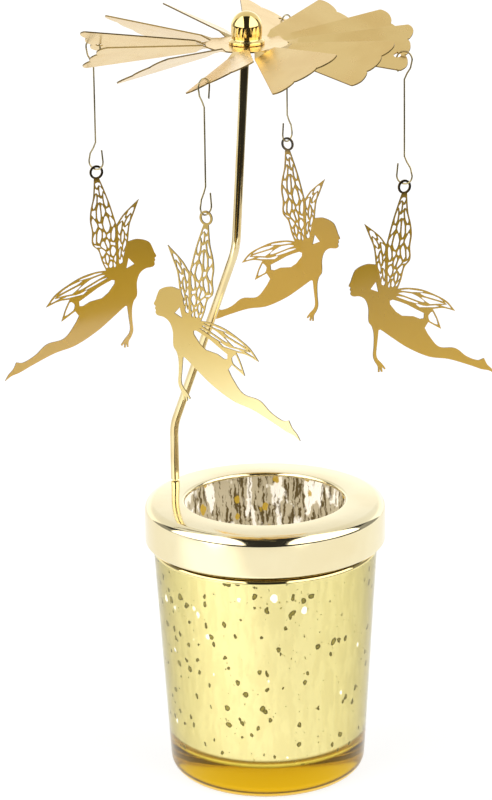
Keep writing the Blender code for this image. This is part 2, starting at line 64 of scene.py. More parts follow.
# Gaps between pieces that rest on each other, and between pieces that fit into each other
SEAT_GAP = 0.3 * MM
FIT_GAP = 0.2 * MM

# Glass cup, with a small moulded step under the cap and a silvered well
CUP_HEIGHT = 78.4 * MM
CUP_RIM_RADIUS = 31.8 * MM
CUP_BASE_RADIUS = 27.0 * MM
CUP_WALL = 2.6 * MM
CUP_FLOOR = 9.0 * MM
CUP_FOOT_ROUND = 5.0 * MM
CUP_WELL_ROUND = 4.0 * MM
NECK_STEP = 1.6 * MM
NECK_STEP_DROP = 0.9 * MM
NECK_ROUND = 0.9 * NECK_STEP
SILVER_BITE = 0.03 * MM
SILVER_COAT = 0.07 * MM
SILVER_TOP = 1.0 * MM

# Spun cap
CAP_CLEARANCE = 0.9 * MM
CAP_SHEET = 0.6 * MM
CAP_DEPTH = 11.7 * MM
CAP_SHOULDER = 2.5 * MM
CAP_CROWN = 0.15 * MM
CAP_MOUTH_RADIUS = 22.2 * MM
CAP_LIP_DEPTH = 1.15 * MM
CAP_LIP_ROUND = 0.8 * MM
CAP_LIP_EDGE = 0.2 * MM
CAP_HEM_ROUND = 1.0 * MM
CAP_HEM_EDGE = 0.15 * MM

# Bent post
POST_RADIUS = 1.2 * MM
POST_FOOT_TURN = math.radians(145.2)
POST_FOOT_INSET = 0.3 * MM
TENON_RADIUS = 0.6 * MM
LOWER_BEND_RISE = 16.0 * MM
LOWER_BEND_ROUND = 14.0 * MM
UPPER_BEND = Vector((-7.0, 1.0, 71.3)) * MM
UPPER_BEND_ROUND = 20.0 * MM
NEEDLE_LENGTH = 6.0 * MM
NEEDLE_TIP_RADIUS = 0.15 * MM

# Fan and dome
FAN_X = -3.3 * MM
FAN_RISE = 127.6 * MM
FAN_RADIUS = 43.8 * MM
FAN_SHEET = 0.4 * MM
FAN_TURN = math.radians(-9.7)
FAN_DISC_RADIUS = 11.0 * MM
FAN_NECK_RADIUS = 13.5 * MM
FAN_EDGE_ROUND = 0.06 * MM
FAN_EDGE_ANGLE = math.radians(50)
PETALS = 12
# Sides of the hub's hole to a petal: two of them carry its neck, and the third faces the slit
HUB_SIDES = 3
PETAL_SLIT = math.radians(3.6)
PETAL_PITCH = math.radians(26.0)
SCALLOPS = 3
SCALLOP_DEPTH = 1.2 * MM
LOBE_FULLNESS = 0.6
PETAL_CORNER = 3.2 * MM
PETAL_CORNER_DROP = 1.8 * MM
DOME_RADIUS = 4.15 * MM
DOME_BELLY_DROP = 1.35 * DOME_RADIUS
DOME_BELLY_ROUND = 2.4 * MM
DOME_WAIST_RADIUS = 4.0 * MM
DOME_WAIST_ROUND = 0.4 * MM
DOME_HEIGHT = 9.0 * MM
DOME_FLANGE_RADIUS = 4.8 * MM
DOME_FLANGE = 0.6 * MM
DOME_FLANGE_ROUND = 0.25 * MM
DOME_SPIGOT_RADIUS = 3.2 * MM
DOME_CLINCH_RADIUS = 4.0 * MM
DOME_CLINCH = 0.5 * MM
DOME_CLINCH_EDGE = 0.1 * MM
DOME_CLINCH_ROUND = 0.2 * MM
BEARING_BORE_RADIUS = 2.3 * MM
BEARING_BORE_TOP = 4.0 * MM
BEARING_SEAT_TOP = 6.0 * MM

# Wire hooks
WIRE_RADIUS = 0.23 * MM
LOOP_RADIUS = 2.1 * MM
LOOP_NECK = 5.4 * MM
LOOP_TAIL = 3.4 * MM
LOOP_START = math.radians(12)
LOOP_END = math.radians(-186)
NECK_SHAPE = ((0.0, 1.0), (0.35, 0.7), (0.8, 0.42))
TAIL_SIDE = -0.84
HOOK_SPAN = 31.6 * MM
HOOK_SINK = 0.9 * MM
HOOK_HOLE_RADIUS = 1.0 * MM
HOOK_HOLE_INSET = 1.9 * MM
HOLE_DEPTH = 4.0 * MM
HOLE_SIDES = 32

# Sheet fairies
FAIRY_DROP = 55.9 * MM
FAIRY_SHEET = 0.35 * MM
EYE_RADIUS = 1.95 * MM
EYE_HOLE_RADIUS = 1.35 * MM
VEIN = 0.38 * MM
LOWER_VEIN = 0.46 * MM
NAMES = ("right", "front", "left", "back")
# Turns in plan from the petal that carries each one, in degrees
HOOK_TWIST = {"right": -8.1, "front": -32.3, "left": -14.3, "back": -29.3}
FAIRY_TWIST = {"right": 214.8, "front": 247.3, "left": 210.5, "back": 248.4}

# Places worked out from the sizes above
CAP_RADIUS = CUP_RIM_RADIUS + CAP_CLEARANCE + CAP_SHEET
CAP_SHOULDER_RADIUS = CAP_RADIUS - CAP_SHOULDER
CAP_TOP = CUP_HEIGHT + SEAT_GAP + CAP_SHEET
CAP_FALL = CAP_CROWN / (CAP_SHOULDER_RADIUS - CAP_MOUTH_RADIUS - CAP_LIP_ROUND)
NECK_Z = CAP_TOP - CAP_DEPTH - NECK_STEP_DROP
POST_FOOT_RADIUS = CAP_SHOULDER_RADIUS - POST_FOOT_INSET
FAN_Z = CAP_TOP + FAN_RISE
FAN_HUB = Vector((FAN_X, 0.0, FAN_Z))
FAN_HOLE_RADIUS = DOME_SPIGOT_RADIUS + FIT_GAP
PETAL_STEP = math.tau / PETALS

# The fairy is drawn in millimetres with its eye's centre at the origin, facing +X.
# A point with a third value is a sharp corner.
CORNER = True
FRONT_WING_LEFT = (
    (2.1, -27.9), (1.0, -25.4), (0.0, -22.1), (-1.7, -20.2), (-1.7, -16.6),
    (-2.2, -13.4), (-1.9, -10.3), (-1.2, -7.5), (-0.9, -4.6), (-0.75, -1.9),
)
FRONT_WING_RIGHT = (
    (5.2, -28.0), (5.5, -24.5), (5.3, -20.0), (5.4, -15.3, CORNER), (4.5, -12.2),
    (3.4, -8.6), (1.9, -4.6), (0.75, -1.9),
)
REAR_WING_LEFT = (
    (5.5, -27.6), (5.5, -24.5), (5.4, -20.0), (5.4, -15.3, CORNER), (7.5, -12.5), (12.0, -8.7, CORNER),
)
REAR_WING_RIGHT = (
    (7.0, -27.2), (7.7, -24.0), (8.6, -20.3, CORNER), (9.2, -15.6), (10.4, -12.6), (12.0, -8.7, CORNER),
)
LOWER_WING_TOP = (
    (2.1, -27.9), (-0.8, -28.0), (-4.9, -28.9), (-8.6, -30.6), (-12.8, -33.2), (-15.5, -36.4),
)
LOWER_WING_BOTTOM = (
    (4.2, -29.9), (1.6, -30.9), (-0.7, -32.0), (-3.6, -33.8), (-6.0, -35.1), (-8.6, -34.9, CORNER),
    (-11.8, -35.1), (-15.5, -36.4),
)
SMALL_LOBE_TOP = ((-6.6, -35.6), (-8.6, -34.9, CORNER), (-9.9, -37.4), (-11.2, -40.9))
SMALL_LOBE_BOTTOM = ((-6.2, -37.4), (-7.2, -38.4, CORNER), (-11.2, -40.9, CORNER))
HEAD = (
    (8.6, -20.3, CORNER), (11.4, -19.9), (14.6, -21.0), (15.7, -22.9), (16.1, -24.0), (16.7, -25.3),
    (16.2, -25.8), (16.4, -26.4), (16.1, -26.8), (16.2, -27.6), (15.6, -28.2), (13.5, -28.5), (11.8, -29.7),
)
CHEST_AND_ARM = (
    (10.9, -32.1), (10.8, -35.9), (9.8, -37.5), (9.3, -39.6), (9.3, -42.8), (9.5, -45.8), (8.9, -47.5),
    (8.1, -48.8), (8.0, -50.4, CORNER), (7.6, -50.4, CORNER), (7.5, -49.2, CORNER), (7.1, -50.5, CORNER),
    (6.7, -50.4, CORNER), (6.9, -49.1, CORNER), (6.1, -49.9, CORNER), (5.8, -49.6, CORNER),
    (6.9, -48.1), (8.2, -46.6), (8.6, -45.2), (8.3, -42.2), (7.9, -38.6, CORNER),
)
LEGS = (
    (7.3, -38.6), (3.9, -41.2), (-1.0, -44.8), (-7.5, -48.2), (-13.5, -49.7), (-20.4, -52.5), (-23.7, -54.0),
    (-26.0, -54.7), (-27.9, -55.9, CORNER), (-26.8, -54.2), (-25.5, -52.9), (-24.5, -51.0, CORNER),
    (-22.6, -51.3), (-19.0, -49.6), (-15.6, -46.9), (-10.6, -45.8), (-7.5, -42.3), (-6.1, -39.9, CORNER),
)
LOWER_WING_EDGE = (
    (-7.2, -38.4, CORNER), (-11.2, -40.9, CORNER), (-9.9, -37.4), (-8.6, -34.9, CORNER), (-11.8, -35.1),
    (-15.5, -36.4, CORNER), (-12.8, -33.2), (-8.6, -30.6), (-4.9, -28.9), (-0.8, -28.0),
    (2.1, -27.9, CORNER),
)
BACK_GAP = (
    (4.5, -30.9), (4.4, -31.9), (2.6, -34.2), (0.7, -35.6), (-2.8, -36.2), (-4.8, -37.2), (-5.9, -37.2),
    (-6.0, -35.8), (-3.6, -34.4), (-0.7, -32.6), (1.6, -31.5), (3.6, -30.7),
)
NECK_GAP = ((8.6, -25.0), (10.3, -26.9), (7.9, -28.0))
# Rows of pierced cells from a wing's root to its tip: start, end and number of cells
FRONT_WING_ROWS = (
    (0.02, 0.09, 3), (0.09, 0.16, 4), (0.16, 0.24, 3), (0.24, 0.33, 4), (0.33, 0.44, 5), (0.44, 0.57, 4),
    (0.57, 0.71, 4), (0.71, 0.82, 3), (0.82, 0.91, 2), (0.91, 0.97, 1),
)
REAR_WING_ROWS = (
    (0.04, 0.14, 1), (0.14, 0.25, 2), (0.25, 0.36, 2), (0.36, 0.48, 3), (0.48, 0.6, 2), (0.6, 0.73, 2),
    (0.73, 0.88, 1),
)
LOWER_WING_ROWS = ((0.05, 0.43, 3), (0.43, 0.78, 3), (0.78, 0.94, 1))
SMALL_LOBE_ROWS = ((0.1, 0.8, 1),)
# Half of a cell's rounded outline: share of its row, and half its width
CELL_SIDE = (
    (0.0, 0.0), (0.05, 0.22), (0.13, 0.38), (0.26, 0.5), (0.74, 0.5), (0.87, 0.38), (0.95, 0.22), (1.0, 0.0),
)
# How far the rows wave and the veins stray, and how fast that changes across and along a wing
ROW_WAVE = 0.3
ROW_WAVES_ACROSS = 1.4
ROW_WAVE_STEP = 0.37
COLUMN_SHIFT = 0.14
COLUMN_TURN = 3.7
COLUMN_ROW_TURN = 1.9
FAIRY_SCALE = FAIRY_DROP / -min(point[1] for point in LEGS)

# Heights at which the finishes change, and where the painted glow in the glass foot and the painted light and
# shade on the fairies begin and end
FOOT_LIT = 7.0 * MM
FOOT_UNLIT = 12.0 * MM
FAIRY_FEET = 118.0 * MM
FAIRY_BODY = 146.0 * MM
FAIRY_WING_TOP = 184.0 * MM
EYE_BOTTOM = 167.2 * MM
EYE_SHADED = 169.0 * MM

# Studio, with distances in metres and brightness relative to the white floor
FLOOR_FRONT = -0.34
FLOOR_BACK = 2.6
FLOOR_LEFT = -2.2
FLOOR_RIGHT = 0.5
FLOOR_DROP = 0.2 * MM
FLOOR_GLOW = 0.78
# Painted pools of light on the floor, and a dimmer painted glow under the glass
NEAR_POOL_GLOW = 1.16
NEAR_POOL_FADE = (0.36, 0.26)
NEAR_POOL_DEPTH = (0.01, -0.09)
NEAR_POOL_SLANT = 0.667
NEAR_POOL_RIGHT = (0.10, 0.0)
LEFT_POOL = (-0.30, -0.27, 0.0)
LEFT_POOL_GLOW = 3.5
LEFT_POOL_FADE = (0.12, 0.06)
RIGHT_POOL = (0.21, -0.335, 0.0)
RIGHT_POOL_GLOW = 2.6
RIGHT_POOL_FADE = (0.10, 0.03)
UNDER_GLASS_GLOW = 0.55
UNDER_GLASS_FADE = (0.0222, 0.0215)
BOX_LIGHT = 2.4
BACK_LIGHT = 1.08
SIDE_LIGHT = 0.3
DARK_LIGHT = 0.03
# Where the studio's lights fade out and in, on a sphere of radius 1 round the object
BOX_LEFT_SIDE = (-0.36, -0.30)
BOX_RIGHT_SIDE = (0.38, 0.32)
BOX_BACK = (0.16, 0.12)
BOX_FOOT = (0.0, 0.08)
WALL_FOOT = (0.62, 0.66)
WALL_LEAN = 0.6
WALL_FALL = 0.26
SIDE_FRONT = (0.12, 0.2)
SIDE_TOP = (0.4, 0.25)

# Camera, from the photograph's frame of 492 by 800 pixels
FRAME = (492, 800)
FOCAL_PIXELS = 3554.0
SENSOR = 36.0
STAND_OFF = 0.930
PITCH = math.radians(17.3)
ROLL = math.radians(0.8)
MOUTH_PIXEL = (264.8, 496.8)
MOUTH_HEIGHT = 79.8 * MM


class Socket:
    """A shader value that goes into sums as a number does."""

    def __init__(self, finish, output):
        self.finish = finish
        self.output = output

    def sum(self, operation, first, second):
        return self.finish.node("ShaderNodeMath", {"operation": operation}, {0: first, 1: second})

    def __add__(self, other):
        return self.sum("ADD", self, other)

    def __radd__(self, other):
        return self.sum("ADD", other, self)

    def __sub__(self, other):
        return self.sum("SUBTRACT", self, other)

    def __rsub__(self, other):
        return self.sum("SUBTRACT", other, self)

    def __mul__(self, other):
        return self.sum("MULTIPLY", self, other)

    def __rmul__(self, other):
        return self.sum("MULTIPLY", other, self)


class Finish:
    """The nodes of one material, or of the studio's light."""

    def __init__(self, owner):
        owner.use_nodes = True
        self.tree = owner.node_tree
        self.tree.nodes.clear()

    def node(self, kind, settings, sockets, output=0):
        node = self.tree.nodes.new(kind)
        for name, value in settings.items():
            setattr(node, name, value)
        for name, value in sockets.items():
            if isinstance(value, Socket):
                self.tree.links.new(value.output, node.inputs[name])
            else:
                node.inputs[name].default_value = value
        return Socket(self, node.outputs[output]) if node.outputs else None

    def place(self):
        return self.node("ShaderNodeTexCoord", {}, {}, "Object")

    def along(self, axis):
        return self.node("ShaderNodeSeparateXYZ", {}, {"Vector": self.place()}, axis)

    def stretched(self, scale):
        return self.node("ShaderNodeMapping", {}, {"Vector": self.place(), "Scale": scale})

    def noise(self, place, scale, detail=2.0):
        return self.node("ShaderNodeTexNoise", {}, {"Vector": place, "Scale": scale, "Detail": detail})

    def blobs(self, place, scale):
        return self.node("ShaderNodeTexVoronoi", {}, {"Vector": place, "Scale": scale}, "Distance")

    def fade(self, value, low, high):
        """0 below low, 1 above high and smooth between them, or the other way round if low is higher."""
        ends = {"To Min": 0.0, "To Max": 1.0} if low < high else {"To Min": 1.0, "To Max": 0.0}
        sockets = {"Value": value, "From Min": min(low, high), "From Max": max(low, high), **ends}
        return self.node("ShaderNodeMapRange", {"interpolation_type": "SMOOTHSTEP"}, sockets)

    def tint(self, share, first, second):
        """A colour that goes from the first to the second with the share."""
        first = first if isinstance(first, Socket) else (*first, 1.0)
        second = second if isinstance(second, Socket) else (*second, 1.0)
        settings = {"data_type": "RGBA", "clamp_factor": True}
        return self.node("ShaderNodeMix", settings, {0: share, 6: first, 7: second}, 2)

    def either(self, first, second):
        return self.node("ShaderNodeMath", {"operation": "MAXIMUM"}, {0: first, 1: second})

    def bump(self, height, strength, distance):
        return self.node("ShaderNodeBump", {}, {"Height": height, "Strength": strength, "Distance": distance})

    def shader(self, **sockets):
        return self.node("ShaderNodeBsdfPrincipled", {}, sockets)

    def done(self, shader, volume=None):
        sockets = {"Surface": shader}
        if volume:
            sockets["Volume"] = volume
        self.node("ShaderNodeOutputMaterial", {}, sockets)


def new_finish(name):
    material = bpy.data.materials.new(name)
    return material, Finish(material)


def plated_metal(name, colour, worn, polish, cloud, grain, grain_depth):
    """Plated metal: a cloudy tint, uneven polish and a fine grain."""
    material, finish = new_finish(name)
    patches = finish.noise(finish.place(), cloud, 4.0)
    smear = finish.noise(finish.stretched((1.0, 1.0, 0.35)), cloud * 4.0, 3.0)
    dust = finish.noise(finish.place(), grain, 2.0)
    tinted = finish.tint(finish.fade(patches, 0.38, 0.68), colour, worn)
    finish.done(finish.shader(**{
        "Base Color": tinted,
        "Metallic": 1.0,
        "Roughness": polish + 0.06 * finish.fade(smear, 0.45, 0.75) + 0.02 * dust,
        "Normal": finish.bump(dust, 0.25, grain_depth),
    }))
    return material


def cut_edge():
    """The stamped edge of the sheets, darker than their polished faces."""
    material, finish = new_finish("Stamped sheet edge")
    burr = finish.noise(finish.place(), 1500.0, 2.0)
    finish.done(finish.shader(**{
        "Base Color": finish.tint(burr, (0.13, 0.085, 0.025), (0.25, 0.17, 0.055)),
        "Metallic": 1.0,
        "Roughness": 0.35 + 0.1 * burr,
    }))
    return material


def fairy_metal(name, first, second, painted_shade, painted_light):
    """Satin gold sheet between two golds, with painted shade on the head, the wing tops and the eye ring, and
    painted light on the feet, each by its share.
    """
    material, finish = new_finish(f"Satin gold fairy sheet {name}")
    height = finish.along("Z")
    patches = finish.noise(finish.place(), 120.0, 4.0)
    brush = finish.noise(finish.stretched((1.0, 1.0, 0.15)), 2600.0, 2.0)
    # Share of painted shade, rising from the body to the wing tops round the head
    heat = finish.fade(height + 0.012 * patches, FAIRY_BODY, FAIRY_WING_TOP)
    tinted = finish.tint(patches, first, second)
    # Painted light: paler towards the feet
    tinted = finish.tint(painted_light * finish.fade(height, FAIRY_BODY, FAIRY_FEET), tinted, (0.70, 0.58, 0.26))
    # Painted shade: darker brown towards the head and the wing tops
    tinted = finish.tint(0.6 * painted_shade * heat, tinted, (0.36, 0.23, 0.06))
    # Painted shade: near black on the eye ring
    tinted = finish.tint(painted_shade * finish.fade(height, EYE_BOTTOM, EYE_SHADED), tinted, (0.03, 0.022, 0.01))
    finish.done(finish.shader(**{
        "Base Color": tinted,
        "Metallic": 1.0,
        "Roughness": 0.24 + 0.06 * patches + 0.04 * brush,
        "Coat Weight": 1.0,
        "Coat Roughness": 0.06,
        "Normal": finish.bump(brush, 0.2, 0.02 * MM),
    }))
    return material


def amber_glass(name, colour, roughness):
    """Glass tinted through its thickness, with faint mould waves and a painted glow in its thick foot that
    stands in for light coming up through it.
    """
    material, finish = new_finish(name)
    lit = finish.fade(finish.along("Z"), FOOT_UNLIT, FOOT_LIT)
    waves = finish.noise(finish.stretched((1.0, 1.0, 0.4)), 55.0, 2.0)
    shader = finish.shader(**{
        "Base Color": (*colour, 1.0),
        "Transmission Weight": 1.0,
        "IOR": 1.5,
        "Specular Tint": (0.9, 0.72, 0.2, 1.0),
        "Roughness": roughness,
        "Normal": finish.bump(waves, 0.12, 0.3 * MM),
        # Painted glow, strongest at the foot, standing in for light from the table
        "Emission Color": finish.tint(lit, BLACK, (0.048, 0.032, 0.0)),
        "Emission Strength": 1.0,
    })
    through = {"Color": (0.936, 0.865, 0.034, 1.0), "Density": 145.0}
    finish.done(shader, finish.node("ShaderNodeVolumeAbsorption", {}, through))
    return material


def neck_plating():
    """The lustre on the glass's neck, which thins out to the glass's own yellow at the step."""
    material, finish = new_finish("Lustre on the glass neck")
    height = finish.along("Z")
    patches = finish.noise(finish.place(), 300.0, 3.0)
    thin = finish.fade(height + 0.2 * MM * patches, NECK_Z - NECK_STEP, NECK_Z - 0.4 * NECK_STEP)
    finish.done(finish.shader(**{
        "Base Color": finish.tint(thin, (0.88, 0.79, 0.36), (0.80, 0.64, 0.30)),
        "Metallic": 1.0,
        "Roughness": 0.03 + 0.05 * patches,
    }))
    return material


def drifted(finish, scale):
    """Places pulled about a little, so that flecks and runs have ragged edges."""
    place = finish.place()
    drift = finish.node("ShaderNodeTexNoise", {}, {"Vector": place, "Scale": 520.0, "Detail": 3.0}, "Color")
    settings = {"operation": "MULTIPLY_ADD"}
    ragged = finish.node("ShaderNodeVectorMath", settings, {0: drift, 1: (0.0014, 0.0014, 0.0020), 2: place})
    return finish.node("ShaderNodeMapping", {}, {"Vector": ragged, "Scale": scale})


def silvering():
    """Mercury silvering behind the glass: faintly streaked, eaten through in flecks, with white painted
    highlights at pinholes that glow.
    """
    material, finish = new_finish("Silvering behind the glass")
    tall = drifted(finish, (1.0, 1.0, 0.7))
    even = drifted(finish, (1.0, 1.0, 1.0))
    other = finish.node("ShaderNodeMapping", {}, {"Vector": even, "Location": (0.013, 0.027, 0.041)})
    crowd = finish.noise(finish.place(), 85.0, 2.0)
    small = finish.blobs(tall, 310.0) + 0.20 * crowd
    large = finish.blobs(other, 150.0) + 0.12 * crowd
    crumbs = finish.blobs(tall, 640.0) + 0.35 * crowd
    worn = finish.either(finish.fade(small, 0.29, 0.255), finish.fade(large, 0.20, 0.18))
    heart = finish.either(finish.fade(small, 0.21, 0.16), finish.fade(large, 0.165, 0.13))
    fine = finish.fade(crumbs, 0.29, 0.25)
    # Painted highlights: white spots that glow, standing in for light through pinholes
    painted_glints = finish.fade(finish.blobs(tall, 170.0) + 0.5 * crowd, 0.35, 0.29)
    bands = finish.noise(finish.stretched((1.0, 1.0, 0.02)), 75.0, 2.0)
    streaks = finish.noise(drifted(finish, (1.0, 1.0, 0.22)), 520.0, 4.0)
    streaked = finish.fade(0.75 * streaks + 0.25 * bands, 0.43, 0.56)
    tinted = finish.tint(0.5 * streaked, (0.95, 0.89, 0.77), (0.86, 0.79, 0.64))
    tinted = finish.tint(0.7 * fine, tinted, (0.34, 0.30, 0.12))
    tinted = finish.tint(0.9 * worn, tinted, (0.13, 0.11, 0.035))
    tinted = finish.tint(0.8 * heart, tinted, (0.50, 0.44, 0.20))
    tinted = finish.tint(0.9 * painted_glints, tinted, (1.0, 1.0, 1.0))
    finish.done(finish.shader(**{
        "Base Color": tinted,
        "Metallic": 1.0 - 0.6 * worn,
        "Roughness": 0.22 + 0.2 * worn + 0.1 * fine + 0.06 * streaks,
        "Normal": finish.bump(crowd + 0.5 * bands - 0.4 * worn, 0.3, 0.2 * MM),
        "Emission Color": finish.tint(painted_glints, BLACK, (0.7, 0.74, 1.3)),
        "Emission Strength": 1.0,
    }))
    return material


def well_silvering():
    """The coat in the well: white patches, fine dark runs and amber specks of painted light on grey, all
    glowing a little as painted light through the thin silver.
    """
    material, finish = new_finish("Silvering in the well")
    patches = finish.noise(drifted(finish, (1.0, 1.0, 0.3)), 260.0, 2.0)
    runs = finish.noise(drifted(finish, (1.0, 1.0, 0.1)), 1300.0, 3.0)
    crowd = finish.noise(finish.place(), 85.0, 2.0)
    # Amber specks of painted light, for light through holes in the silver
    painted_light_spots = finish.fade(finish.blobs(drifted(finish, (1.0, 1.0, 0.7)), 210.0) + 0.2 * crowd, 0.33, 0.27)
    dark = finish.fade(runs, 0.50, 0.58)
    white = finish.fade(patches, 0.53, 0.58) * (1.0 - 0.7 * finish.fade(runs, 0.56, 0.64))
    tinted = finish.tint(dark, (0.50, 0.44, 0.31), (0.10, 0.07, 0.025))
    tinted = finish.tint(white, tinted, (1.0, 0.97, 0.90))
    tinted = finish.tint(0.9 * painted_light_spots, tinted, (0.52, 0.34, 0.03))
    finish.done(finish.shader(**{
        "Base Color": tinted,
        "Metallic": 0.4,
        "Roughness": 0.22 + 0.1 * dark,
        "Normal": finish.bump(crowd - 0.4 * dark, 0.3, 0.2 * MM),
        # Painted glow in the coat's own colours, for light through the thin silver
        "Emission Color": tinted,
        "Emission Strength": 0.5,
    }))
    return material


def floor_finish():
    """A white table that glows evenly, with painted pools of light on it and a dimmer painted glow under the
    glass.
    """
    material, finish = new_finish("White floor with painted pools of light")
    place = finish.place()
    haze = finish.noise(place, 3.0, 2.0)
    x, y = (finish.along(axis) for axis in "XY")

    def spot(middle, outer_and_inner):
        sockets = {0: place, 1: middle}
        distance = finish.node("ShaderNodeVectorMath", {"operation": "DISTANCE"}, sockets, "Value")
        return finish.fade(distance, *outer_and_inner)

    def white(level):
        return (level, level, level)

    # Painted pools of light on the even glow, and a dimmer painted glow under the glass
    pool = finish.fade(y, *NEAR_POOL_DEPTH) * finish.fade(x - NEAR_POOL_SLANT * y, *NEAR_POOL_RIGHT)
    glow = finish.tint(pool * spot(ORIGIN, NEAR_POOL_FADE), white(FLOOR_GLOW), white(NEAR_POOL_GLOW))
    glow = finish.tint(spot(LEFT_POOL, LEFT_POOL_FADE), glow, white(LEFT_POOL_GLOW))
    glow = finish.tint(spot(RIGHT_POOL, RIGHT_POOL_FADE), glow, white(RIGHT_POOL_GLOW))
    glow = finish.tint(spot(ORIGIN, UNDER_GLASS_FADE), glow, white(UNDER_GLASS_GLOW))
    finish.done(finish.shader(**{
        "Base Color": (0.25, 0.25, 0.25, 1.0),
        "Roughness": 0.85 + 0.1 * haze,
        "Specular IOR Level": 0.0,
        "Emission Color": glow,
        "Emission Strength": 1.0,
    }))
    return material


def heading(turn):
    return Vector((math.cos(turn), math.sin(turn), 0.0))


def arc(centre, radius, start, end, steps):
    turns = [start + (end - start) * i / steps for i in range(steps + 1)]
    return [(centre[0] + radius * math.cos(t), centre[1] + radius * math.sin(t)) for t in turns]


def set_piece(name, mesh, materials, body, slot, *nodes, crease=CREASE):
    """A finished piece: smooth but for its sharp edges, on its body, in place of the plain solids."""
    mesh.name = name
    slots = [face.material_index for face in mesh.polygons]
    mesh.materials.clear()
    for material in materials:
        mesh.materials.append(material)
    mesh.polygons.foreach_set("material_index", slots)
    for face in mesh.polygons:
        face.use_smooth = True
    mesh.set_sharp_from_angle(angle=crease)
    piece = bpy.data.objects.new(name, mesh)
    bpy.context.scene.collection.objects.link(piece)
    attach(piece, body)
    if nodes:
        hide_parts(*nodes)


def to_mesh(bm):
    mesh = bpy.data.meshes.new("shape")
    bm.to_mesh(mesh)
    bm.free()
    return mesh


def drawn_mesh(data, *shapes):
    """The mesh of a curve, or of a mesh with modifiers, as (kind, settings) pairs."""
    blank = bpy.data.objects.new("blank", data)
    bpy.context.scene.collection.objects.link(blank)
    for kind, settings in shapes:
        shape = blank.modifiers.new(kind, kind)
        for name, value in settings.items():
            setattr(shape, name, value)
    graph = bpy.context.evaluated_depsgraph_get()
    mesh = bpy.data.meshes.new_from_object(blank.evaluated_get(graph))
    bpy.data.objects.remove(blank)
    return mesh


def closed(mesh):
    """A mesh with its seams welded and its faces pointing outwards."""
    bm = bmesh.new()
    bm.from_mesh(mesh)
    bmesh.ops.remove_doubles(bm, verts=bm.verts[:], dist=WELD)
    bmesh.ops.recalc_face_normals(bm, faces=bm.faces[:])
    bm.to_mesh(mesh)
    bm.free()
    return mesh


def turned(corners, ring=False):
    """A piece turned about Z from corners of radius, height and rounding, as a bmesh."""
    bm = bmesh.new()
    places = [Vector((radius, 0.0, height)) for radius, height, _ in corners]
    verts = [bm.verts.new(place) for place in places]
    for pair in zip(verts, verts[1:] + verts[:1] if ring else verts[1:]):
        bm.edges.new(pair)
    for i, (_, _, rounding) in enumerate(corners):
        if rounding:
            back = places[i - 1] - places[i]
            on = places[(i + 1) % len(places)] - places[i]
            bmesh.ops.bevel(
                bm, geom=[verts[i]], offset=rounding / math.tan(back.angle(on) / 2), offset_type="OFFSET",
                segments=ROUND_STEPS, profile=0.5, affect="VERTICES", material=-1,
            )
    bmesh.ops.spin(
        bm, geom=bm.verts[:] + bm.edges[:], cent=ORIGIN, axis=UPRIGHT, angle=math.tau,
        steps=TURN_STEPS, use_merge=True,
    )
    bmesh.ops.remove_doubles(bm, verts=bm.verts[:], dist=WELD)
    bmesh.ops.recalc_face_normals(bm, faces=bm.faces[:])
    return bm


def wire_mesh(points, radius, resolution):
    """A round wire along points, each with the share of the full radius that it has there."""
    curve = bpy.data.curves.new("wire", "CURVE")
    curve.dimensions = "3D"
    curve.bevel_depth = radius
    curve.bevel_resolution = resolution
    curve.use_fill_caps = True
    curve.render_resolution_u = 0
    spline = curve.splines.new("POLY")
    spline.points.add(len(points) - 1)
    for target, (point, share) in zip(spline.points, points):
        target.co = (*point, 1.0)
        target.radius = share
    return closed(drawn_mesh(curve))


def rounded_corner(before, corner, after, radius):
    """The arc that replaces a corner between two straight runs of a bent rod."""
    back = (before - corner).normalized()
    on = (after - corner).normalized()
    half = back.angle(on) / 2
    centre = corner + (back + on).normalized() * (radius / math.sin(half))
    reach = radius / math.tan(half)
    first = corner + back * reach - centre
    last = corner + on * reach - centre
    sweep = first.angle(last)
    axis = first.cross(last).normalized()
    turns = [sweep * i / BEND_STEPS for i in range(BEND_STEPS + 1)]
    return [centre + Matrix.Rotation(turn, 3, axis) @ first for turn in turns]


def cup_outer_radius(height):
    return CUP_BASE_RADIUS + (CUP_RIM_RADIUS - CUP_BASE_RADIUS) * height / CUP_HEIGHT


def make_glass():
    """The pressed glass, with its neck plated above the small step that shows under the cap."""
    rim = CUP_RIM_RADIUS - NECK_STEP
    inner_rim = CUP_RIM_RADIUS - CUP_WALL
    rim_round = (rim - inner_rim) / 2
    bm = turned((
        (0.0, CUP_FLOOR, 0.0),
        (cup_outer_radius(CUP_FLOOR) - CUP_WALL, CUP_FLOOR, CUP_WELL_ROUND),
        (inner_rim, CUP_HEIGHT, rim_round),
        (rim, CUP_HEIGHT, rim_round),
        (cup_outer_radius(NECK_Z) - NECK_STEP, NECK_Z, 0.0),
        (cup_outer_radius(NECK_Z), NECK_Z, NECK_ROUND),
        (CUP_BASE_RADIUS, 0.0, CUP_FOOT_ROUND),
        (0.0, 0.0, 0.0),
    ))
    for face in bm.faces:
        middle = face.calc_center_median()
        outside = Vector((middle.x, middle.y, 0.0)).dot(face.normal) > 0.0
        if middle.z > NECK_Z - NECK_STEP and (outside or face.normal.z > FLAT_FACE):
            face.material_index = 1
        elif middle.z < WELD:
            face.material_index = 2
    clear = amber_glass("Amber glass", (1.0, 1.0, 1.0), 0.0)
    foot = amber_glass("Ground glass foot", (1.0, 0.95, 0.6), 0.12)
    set_piece("amber_glass", to_mesh(bm), (clear, neck_plating(), foot), "cup", "mercury_glass", "glass_cup")


